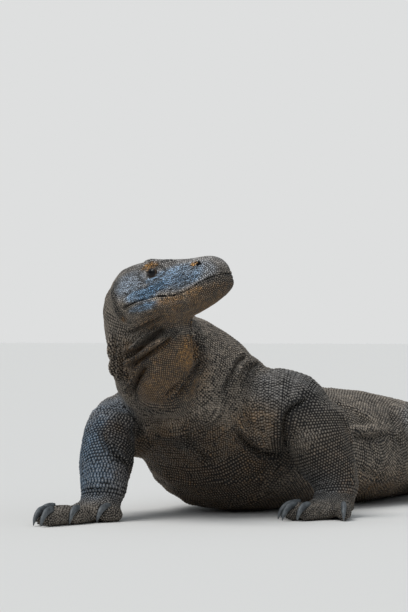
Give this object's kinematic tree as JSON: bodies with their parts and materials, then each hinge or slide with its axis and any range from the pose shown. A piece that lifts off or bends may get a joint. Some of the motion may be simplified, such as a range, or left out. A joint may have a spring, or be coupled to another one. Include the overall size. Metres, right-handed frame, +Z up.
{
  "type": "komodo dragon model",
  "caption": "Life-size still model of an adult komodo dragon resting on its belly, forelegs forward, head raised and turned to its left.",
  "frame": {"origin": "on the floor, under the middle of the whole animal's box", "axes": "+X along the trunk towards the shoulders and head, +Y to the animal's left, +Z up"},
  "size_m": [2.1524, 0.5984, 0.367],
  "materials": {
    "hide": "dry grey-brown beaded scales with dark gaps and pale tips, blue-grey on the forearms and knees",
    "throat_hide": "fine soft scales, warm brown with ochre dust",
    "face_hide": "fine blue-grey granular scales, ochre above the eye and behind the jaw",
    "claw": "satin grey horn with fine lengthwise lines",
    "eye": "wet, dark brown iris round a black pupil"
  },
  "bodies": {
    "root": {"head": "face_hide", "lower_jaw": "face_hide", "eye_right": "eye", "eye_left": "eye", "neck_upper": "hide", "neck_lower": "hide", "thorax": "hide", "abdomen": "throat_hide", "pelvis": "hide", "tail_1": "hide", "tail_2": "hide", "tail_3": "hide", "tail_4": "hide", "throat_pouch": "throat_hide", "front_left_upper": "hide", "front_left_lower": "hide", "front_left_foot": "hide", "claw_front_left_1": "claw", "claw_front_left_2": "claw", "claw_front_left_3": "claw", "claw_front_left_4": "claw", "claw_front_left_5": "claw", "front_right_upper": "hide", "front_right_lower": "hide", "front_right_foot": "hide", "claw_front_right_1": "claw", "claw_front_right_2": "claw", "claw_front_right_3": "claw", "claw_front_right_4": "claw", "claw_front_right_5": "claw", "hind_left_upper": "hide", "hind_left_lower": "hide", "hind_left_foot": "hide", "claw_hind_left_1": "claw", "claw_hind_left_2": "claw", "claw_hind_left_3": "claw", "claw_hind_left_4": "claw", "claw_hind_left_5": "claw", "hind_right_upper": "hide", "hind_right_lower": "hide", "hind_right_foot": "hide", "claw_hind_right_1": "claw", "claw_hind_right_2": "claw", "claw_hind_right_3": "claw", "claw_hind_right_4": "claw", "claw_hind_right_5": "claw"}
  },
  "joints": []
}
